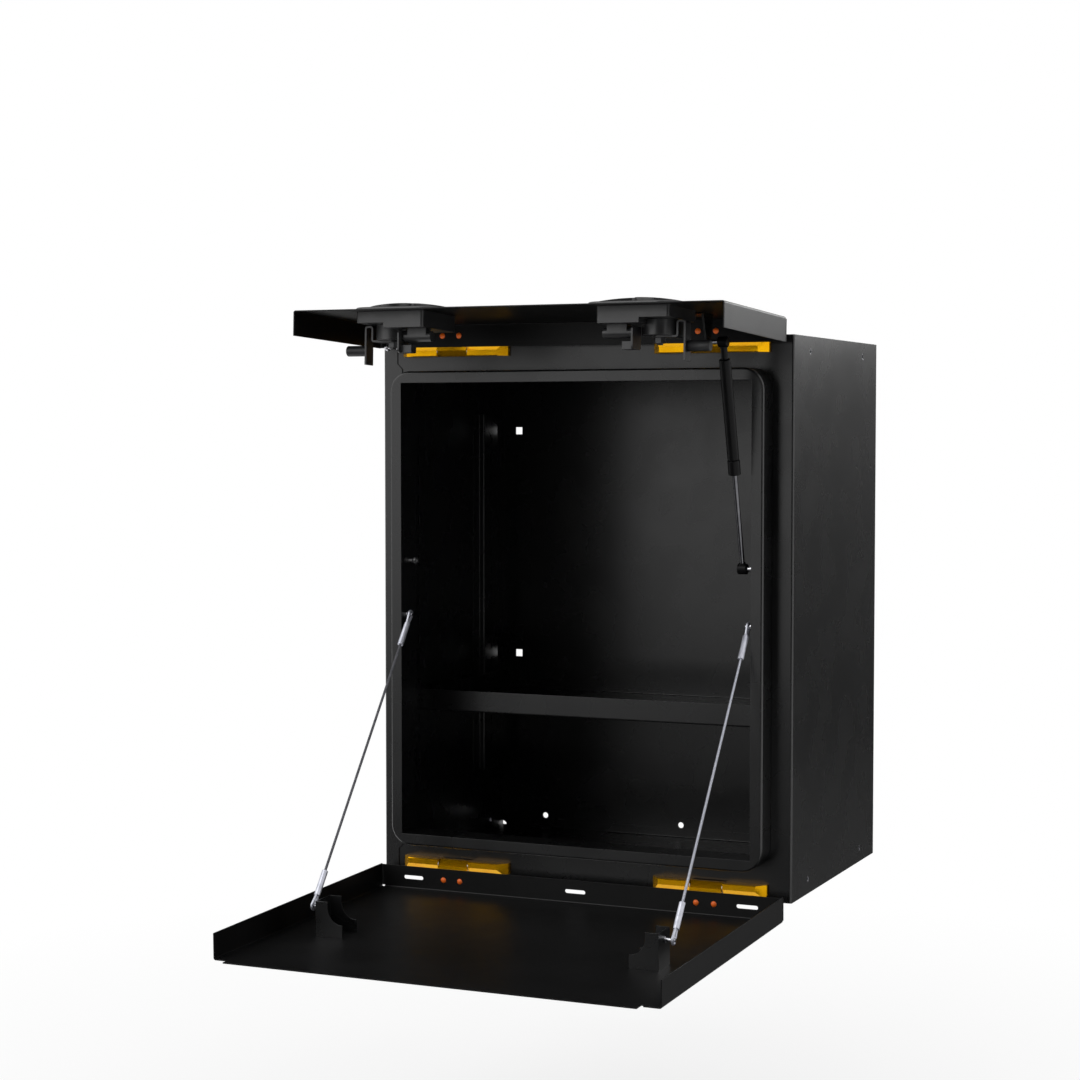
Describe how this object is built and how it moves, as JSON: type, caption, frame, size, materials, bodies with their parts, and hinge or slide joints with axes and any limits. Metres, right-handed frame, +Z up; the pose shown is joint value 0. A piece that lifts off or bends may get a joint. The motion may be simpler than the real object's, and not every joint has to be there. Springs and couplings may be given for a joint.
{
  "type": "van storage box",
  "caption": "Black steel vehicle locker with a lift-up upper door on a gas strut, a drop-down lower door on rope stays, turn latches and an inner tray shelf.",
  "frame": {"origin": "outside of the back panel, in the middle of its four square fixing holes", "axes": "+X to the right as seen from the front, +Y backwards towards the vehicle wall, +Z up; doors face -Y"},
  "size_m": [0.6, 0.8772, 0.8165],
  "materials": {
    "black_coat": "semi-gloss black powder coat",
    "hinge_gold": "yellow-gold plated",
    "rivet_orange": "orange, satin",
    "bright_zinc": "bright zinc plate",
    "rope_steel": "bright wire rope",
    "ferrule_metal": "pressed, satin",
    "black_metal": "satin black",
    "rod_dark": "dark polished",
    "black_plastic": "matt black"
  },
  "bodies": {
    "cabinet": {"side_panel_right": "black_coat", "side_panel_left": "black_coat", "floor_panel": "black_coat", "roof_panel": "black_coat", "back_panel": "black_coat", "front_frame": "black_coat", "side_inserts": "bright_zinc", "uprights_right": "black_coat", "uprights_left": "black_coat", "upright_rivets": "black_coat", "shelf": "black_coat", "shelf_hooks": "black_coat", "lower_hinge_blocks": "hinge_gold", "upper_hinge_blocks": "hinge_gold", "lower_hinge_pins": "bright_zinc", "upper_hinge_pins": "bright_zinc", "lower_hinge_washers": "bright_zinc", "upper_hinge_washers": "bright_zinc", "stay_studs": "bright_zinc", "spare_ball_stud": "bright_zinc", "stay_rope_right": "rope_steel", "stay_rope_left": "rope_steel"},
    "lower_door": {"lower_door_pan": "black_coat", "lower_door_knuckles": "hinge_gold", "lower_hinge_rivets": "rivet_orange", "stay_brackets": "black_coat", "stay_pins": "bright_zinc", "stay_low_ends": "ferrule_metal"},
    "upper_door": {"upper_door_pan": "black_coat", "upper_door_knuckles": "hinge_gold", "upper_hinge_rivets": "rivet_orange", "strut_brackets": "black_coat", "door_ball_studs": "bright_zinc", "latch_housings": "black_metal", "lock_barrels": "black_metal"},
    "latch_right": {"latch_rotor_right": "black_metal", "latch_cam_right": "black_metal", "latch_roller_right": "black_plastic", "latch_nut_right": "black_metal", "latch_grip_pin_right": "bright_zinc"},
    "latch_left": {"latch_rotor_left": "black_metal", "latch_cam_left": "black_metal", "latch_roller_left": "black_plastic", "latch_nut_left": "black_metal", "latch_grip_pin_left": "bright_zinc"},
    "grip_right": {"latch_grip_right": "black_metal"},
    "grip_left": {"latch_grip_left": "black_metal"},
    "stay_end_right": {"stay_top_end_right": "ferrule_metal"},
    "stay_end_left": {"stay_top_end_left": "ferrule_metal"},
    "strut_cylinder": {"strut_tube": "black_metal", "strut_gland": "black_metal", "strut_top_socket": "black_plastic"},
    "strut_piston": {"strut_rod": "rod_dark", "strut_low_socket": "black_plastic", "strut_low_stud": "bright_zinc"}
  },
  "joints": [
    {"name": "lower_door_hinge", "type": "hinge", "parent": "cabinet", "child": "lower_door", "pos_m": [0, -0.404, -0.4315], "axis": [-1, 0, 0], "range_deg": [0, 91.2], "deforming": ["stay_rope_right", "stay_rope_left"]},
    {"name": "upper_door_hinge", "type": "hinge", "parent": "cabinet", "child": "upper_door", "pos_m": [0, -0.404, 0.2835], "axis": [1, 0, 0], "range_deg": [0, 92.06]},
    {"name": "latch_right_turn", "type": "hinge", "parent": "upper_door", "child": "latch_right", "pos_m": [0.186, -0.58488, 0.29001], "axis": [0, 0.0359, 0.9994], "range_deg": [0, 90]},
    {"name": "latch_left_turn", "type": "hinge", "parent": "upper_door", "child": "latch_left", "pos_m": [-0.186, -0.58488, 0.29001], "axis": [0, -0.0359, -0.9994], "range_deg": [0, 90]},
    {"name": "grip_right_fold", "type": "hinge", "parent": "latch_right", "child": "grip_right", "pos_m": [0.19, -0.58327, 0.33478], "axis": [0, 0.9994, -0.0359], "range_deg": [0, 80]},
    {"name": "grip_left_fold", "type": "hinge", "parent": "latch_left", "child": "grip_left", "pos_m": [-0.19, -0.58327, 0.33478], "axis": [0, -0.9994, 0.0359], "range_deg": [0, 80]},
    {"name": "stay_end_right_swing", "type": "hinge", "parent": "cabinet", "child": "stay_end_right", "pos_m": [0.247, -0.4194, -0.0818], "axis": [1, 0, 0], "range_deg": [0, 35]},
    {"name": "stay_end_left_swing", "type": "hinge", "parent": "cabinet", "child": "stay_end_left", "pos_m": [-0.247, -0.4194, -0.0818], "axis": [1, 0, 0], "range_deg": [0, 35]},
    {"name": "strut_tilt", "type": "hinge", "parent": "upper_door", "child": "strut_cylinder", "pos_m": [0.239, -0.4994, 0.2858], "axis": [-1, 0, 0], "range_deg": [0, 112.3]},
    {"name": "strut_stroke", "type": "slide", "parent": "strut_cylinder", "child": "strut_piston", "axis": [0, -0.2664, 0.9639], "range_m": [0, 0.1082], "stiffness_N_per_m": 120, "springref_m": -1}
  ],
  "couplings": [
    {"joint": "stay_end_right_swing", "follows": "lower_door_hinge", "ratio": 0.38},
    {"joint": "stay_end_left_swing", "follows": "lower_door_hinge", "ratio": 0.38},
    {"joint": "strut_tilt", "follows": "upper_door_hinge", "ratio": 1.218},
    {"joint": "strut_stroke", "follows": "upper_door_hinge", "m_per_rad": 0.067244}
  ]
}
